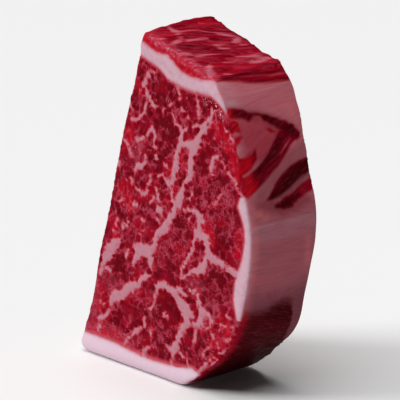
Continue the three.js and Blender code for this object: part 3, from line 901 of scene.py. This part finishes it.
def lean_colour(g, bent, lines, edge, red, pink):
    """Deep red, brighter in parts and beside fat, with pink in it, and dark where it has aged or is painted
    with shade.
    """
    fibre = g.attribute("fibre", "Vector")
    dark_and_shade = g.attribute("dark_and_shade")
    lean = g.mix(g.step(red, 0.41, 0.63), LEAN_DARK, LEAN_RED)
    glow = g.step(g.noise(fibre, PATTERN["glow"], 3.0, 0.5), 0.50, 0.72, 0.0, 0.45)
    flame = g.step(g.noise(bent, PATTERN["flame"], 3.0, 0.6), 0.36, 0.60, 0.25, 0.90)
    lean = g.mix(g.largest(glow, g.product(g.attribute("bright"), flame)), lean, LEAN_BRIGHT)
    lean = g.mix(g.step(edge, -1.2, -0.1, 0.0, 0.5), lean, LEAN_BRIGHT)
    lean = g.mix(g.product(g.attribute("milky"), 0.14), lean, LEAN_PINK)
    lean = g.mix(pink, lean, LEAN_PINK)
    lean = g.mix(g.attribute("tinged"), lean, FRINGE)
    feather = g.step(g.noise(fibre, PATTERN["feather"], 3.0, 0.6), 0.38, 0.62, 0.45, 1.0)
    lean = g.mix(g.product(g.attribute("vivid"), feather), lean, LEAN_VIVID)
    lean = cap_end_colour(g, bent, lean)
    strand = g.product(g.step(lines, 0.50, 0.72, 0.0, 0.34), g.attribute("streaky"))
    lean = g.mix(strand, lean, LEAN_PINK)
    # Darkened where aged, and painted shade near the right side's foot and under the lobe
    lean = g.mix(dark_and_shade, lean, LEAN_AGED_AND_SHADED)
    return g.mix(g.product(strand, dark_and_shade, 0.9), lean, LOWER_SIDE_FAT)


def side_fat_colour(g, lines):
    """Fat of the right side: stained, warm and pale in parts, with fine dark lines."""
    fat = g.mix(g.attribute("upper"), LOWER_SIDE_FAT, UPPER_SIDE_FAT)
    # The stain includes the haze under the lobe, which is partly painted shadow
    fat = g.mix(g.attribute("stain"), fat, STAINED_FAT)
    fat = g.mix(g.attribute("warm"), fat, WARM_FAT)
    fat = g.mix(g.attribute("pale"), fat, RIM_FAT)
    return g.mix(g.step(lines, 0.42, 0.72, 0.0, 0.24), fat, AGED_AND_SHADED_FAT)


def fat_colour(g, lines, edge):
    """Pink where the fat is thin, paler where it is thick or clean, with faint pink clouds."""
    clean = g.attribute("clean")
    thick = g.product(g.step(edge, 0.0, 1.3), g.step(g.attribute("soft"), 0.0, 1.0, 1.0, 0.0))
    fat = g.mix(clean, g.mix(thick, THIN_FAT, SEAM_FAT), RIM_FAT)
    fat = g.mix(g.attribute("side"), fat, side_fat_colour(g, lines))
    cloud = g.step(g.noise(g.attribute("fibre", "Vector"), PATTERN["cloud"], 4.0, 0.6), 0.42, 0.72)
    fat = g.mix(g.product(cloud, g.step(clean, 0.2, 1.0, 0.35, 0.06)), fat, LEAN_PINK)
    # Darkened with the lean beside it, and painted shade near the right side's foot
    return g.mix(g.product(g.attribute("dark_and_shade"), 0.7), fat, AGED_AND_SHADED_FAT)


def meat_material():
    """Moist lean, deep red and lumpy, with pale fat in seams, lace and flecks."""
    g = Graph("marbled_beef")
    bent = bent_fibres(g)
    grit = g.math("SUBTRACT", g.noise(bent, PATTERN["grit"], 3.0, 0.6), 0.5)
    squeezed = g.vector("MULTIPLY", g.attribute("fibre", "Vector"), LINE_SQUEEZE)
    lines = g.noise(squeezed, PATTERN["lines"], 3.0, 0.6)
    edge = fat_edges(g, bent)
    seam = fat_share(g, edge)
    red = lean_red(g, bent, grit)
    lit = g.product(g.step(red, 0.42, 0.54), g.attribute("flecked"))
    fleck = flecks(g, bent)
    pink = g.product(pink_parts(g, bent, grit, fleck), lit)
    white = g.product(g.step(fleck, 0.6, 1.0, 0.0, 0.65), lit)
    lean = lean_colour(g, bent, lines, edge, red, pink)
    colour = g.mix(g.largest(seam, white), lean, fat_colour(g, lines, edge))

    # Beads of juice, which shine, with painted pale glints where they gather
    bead = g.noise(bent, PATTERN["bead"], 2.0, 0.5)
    painted_glint = g.product(g.step(bead, 0.60, 0.68), g.attribute("painted_glint_share"))
    g.feed(g.shader.inputs["Base Color"], g.mix(painted_glint, colour, PAINTED_GLINT))
    g.feed(g.shader.inputs["Coat Weight"], g.product(g.step(bead, 0.56, 0.62), g.attribute("wet")))
    g.feed(g.shader.inputs["Coat Normal"], g.bumps(bead, 1.0, 0.7))
    g.shader.inputs["Coat Roughness"].default_value = 0.18

    # Grain finer than the mesh, mostly on the lean
    grain = g.product(grit, g.step(seam, 0.0, 1.0, 0.30, 0.06))
    g.feed(g.shader.inputs["Normal"], g.bumps(grain, 0.8, 1.0))
    g.feed(g.shader.inputs["Roughness"], g.step(seam, 0.0, 1.0, 0.42, 0.55))
    g.shader.inputs["Specular IOR Level"].default_value = 0.01
    g.shader.inputs["Subsurface Weight"].default_value = 0.10
    g.shader.inputs["Subsurface Radius"].default_value = (1.0, 0.3, 0.25)
    g.shader.inputs["Subsurface Scale"].default_value = 0.8 * MM
    return g.material


def floor_material():
    """A plain pale floor."""
    g = Graph("pale_floor")
    g.shader.inputs["Base Color"].default_value = (FLOOR_GREY, FLOOR_GREY, FLOOR_GREY, 1.0)
    g.shader.inputs["Roughness"].default_value = 0.7
    g.shader.inputs["Specular IOR Level"].default_value = 0.2
    return g.material


def make_floor():
    """A wide flat floor, which isn't part of the object."""
    half = FLOOR_HALF
    mesh = bpy.data.meshes.new("floor")
    corners = [(-half, -half, 0), (half, -half, 0), (half, half, 0), (-half, half, 0)]
    mesh.from_pydata(corners, [], [(0, 1, 2, 3)])
    floor = bpy.data.objects.new("floor", mesh)
    mesh.materials.append(floor_material())
    bpy.context.scene.collection.objects.link(floor)


def direction(azimuth, elevation):
    """Unit vector from the object towards a viewer or light; azimuth 0 is in front, 90 at the right."""
    turn = math.radians(azimuth)
    rise = math.radians(elevation)
    return Vector((math.sin(turn) * math.cos(rise), -math.cos(turn) * math.cos(rise), math.sin(rise)))


def facing_object(towards):
    """The rotation of a camera or light that stands in a direction from the object and faces it."""
    return (-towards).to_track_quat("-Z", "Y")


def make_camera():
    """The camera, at the photograph's viewing angle."""
    camera = bpy.data.objects.new("camera", bpy.data.cameras.new("camera"))
    camera.data.lens = CAMERA_LENS
    camera.data.sensor_width = CAMERA_SENSOR
    camera.data.clip_start = 0.01
    camera.data.clip_end = 100.0
    back = direction(CAMERA_AZIMUTH, CAMERA_ELEVATION)
    camera.location = (Vector(CAMERA_TARGET) + back * CAMERA_DISTANCE) * MM
    camera.rotation_mode = "QUATERNION"
    camera.rotation_quaternion = facing_object(back)
    bpy.context.scene.collection.objects.link(camera)
    bpy.context.scene.camera = camera


def make_sun(name, azimuth, elevation, strength, softness):
    """A sun that shines on the object from a direction."""
    light = bpy.data.lights.new(name, "SUN")
    light.energy = strength
    light.angle = math.radians(softness)
    lamp = bpy.data.objects.new(name, light)
    lamp.rotation_mode = "QUATERNION"
    lamp.rotation_quaternion = facing_object(direction(azimuth, elevation))
    bpy.context.scene.collection.objects.link(lamp)


def make_light():
    """Soft studio light: the suns and an even white sky."""
    for sun in SUNS:
        make_sun(*sun)
    world = bpy.data.worlds.new("studio")
    bpy.context.scene.world = world
    world.use_nodes = True
    sky = world.node_tree.nodes["Background"]
    sky.inputs["Color"].default_value = (1.0, 1.0, 1.0, 1.0)
    sky.inputs["Strength"].default_value = SKY_STRENGTH
    bpy.context.scene.view_settings.view_transform = "Standard"


make_camera()
meat = make_meat()
meat.data.materials.clear()
meat.data.materials.append(meat_material())
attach(meat, "root")
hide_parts("steak")
make_floor()
make_light()
